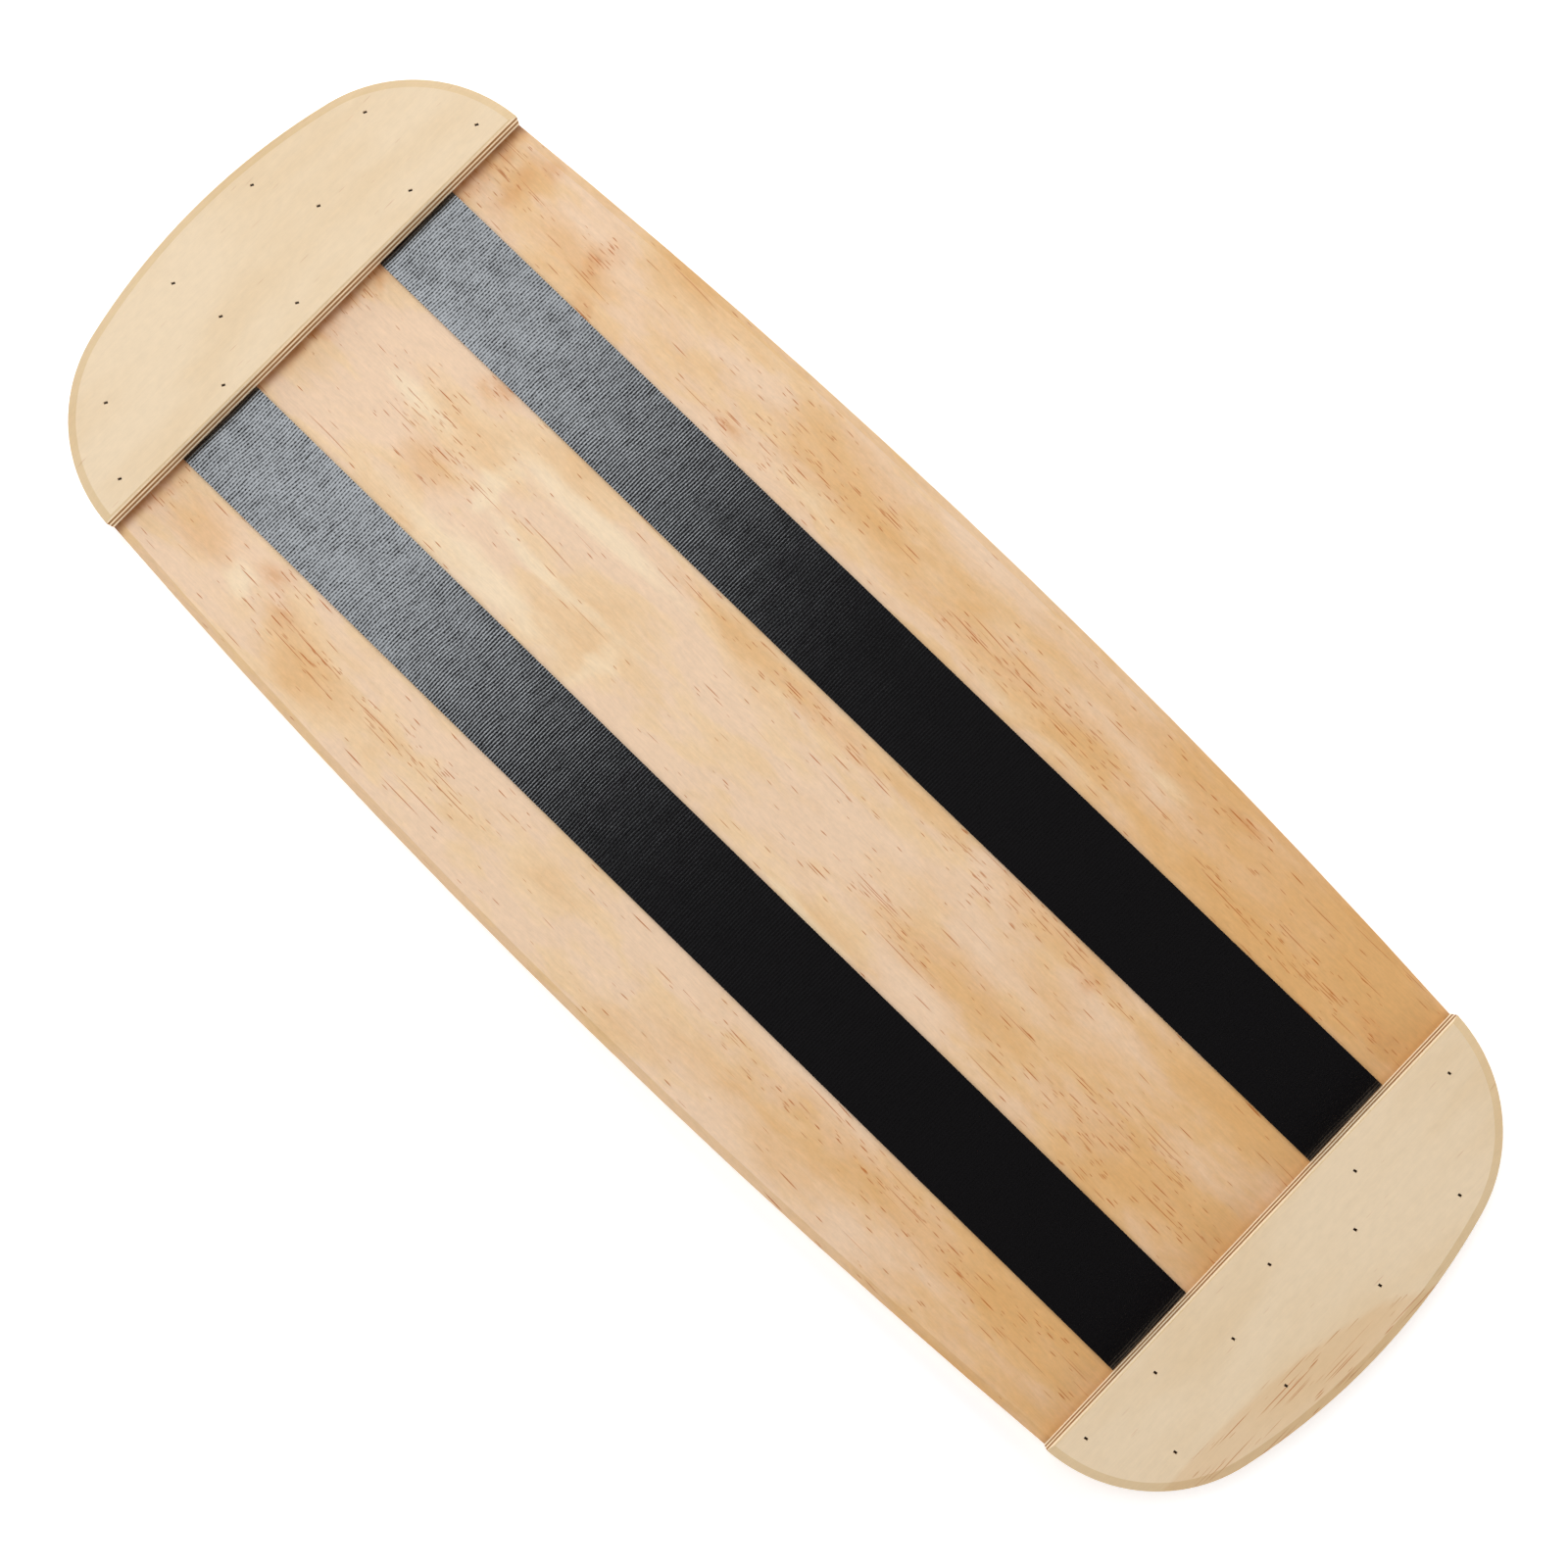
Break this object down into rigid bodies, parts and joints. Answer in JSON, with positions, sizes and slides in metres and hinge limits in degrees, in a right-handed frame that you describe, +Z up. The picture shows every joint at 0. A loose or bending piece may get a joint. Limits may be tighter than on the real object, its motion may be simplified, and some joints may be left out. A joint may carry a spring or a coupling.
{
  "type": "balance board",
  "caption": "Flat plywood board with rounded ends, a raised half-moon stop block at each end and ribbed grip tapes between them, ridden over a loose roller.",
  "frame": {"origin": "middle of the standing face, which is the lowest face as the board lies with its roller side up", "axes": "+X along the board towards the right stop, +Y across the board towards the rear grip strip, +Z up out of the roller side"},
  "size_m": [0.8, 0.3098, 0.022],
  "materials": {
    "deck_face_veneer": "sealed pine face veneer, grain along the board",
    "deck_long_veneer": "pine core veneer, grain along the board",
    "deck_cross_veneer": "pine core veneer, grain across the board",
    "stop_face_veneer": "pale face veneer, grain across the board",
    "stop_long_veneer": "pale core veneer, grain across the board",
    "stop_cross_veneer": "pale core veneer, grain along the board",
    "grip_tape": "coated cloth tape with a fine cross-ribbed weave, satin",
    "strip_adhesive": "thin pressure-sensitive film",
    "brad_steel": "bright drawn wire, slightly tarnished heads"
  },
  "bodies": {
    "root": {"deck_ply_1": "deck_face_veneer", "deck_ply_2": "deck_cross_veneer", "deck_ply_3": "deck_long_veneer", "deck_ply_4": "deck_cross_veneer", "deck_ply_5": "deck_long_veneer", "deck_ply_6": "deck_cross_veneer", "deck_ply_7": "deck_face_veneer", "left_stop_ply_1": "stop_long_veneer", "left_stop_ply_2": "stop_cross_veneer", "left_stop_ply_3": "stop_long_veneer", "left_stop_ply_4": "stop_cross_veneer", "left_stop_ply_5": "stop_face_veneer", "left_stop_brads": "brad_steel", "right_stop_ply_1": "stop_long_veneer", "right_stop_ply_2": "stop_cross_veneer", "right_stop_ply_3": "stop_long_veneer", "right_stop_ply_4": "stop_cross_veneer", "right_stop_ply_5": "stop_face_veneer", "right_stop_brads": "brad_steel", "front_grip_strip": "grip_tape", "front_strip_adhesive": "strip_adhesive", "rear_grip_strip": "grip_tape", "rear_strip_adhesive": "strip_adhesive"}
  },
  "joints": []
}
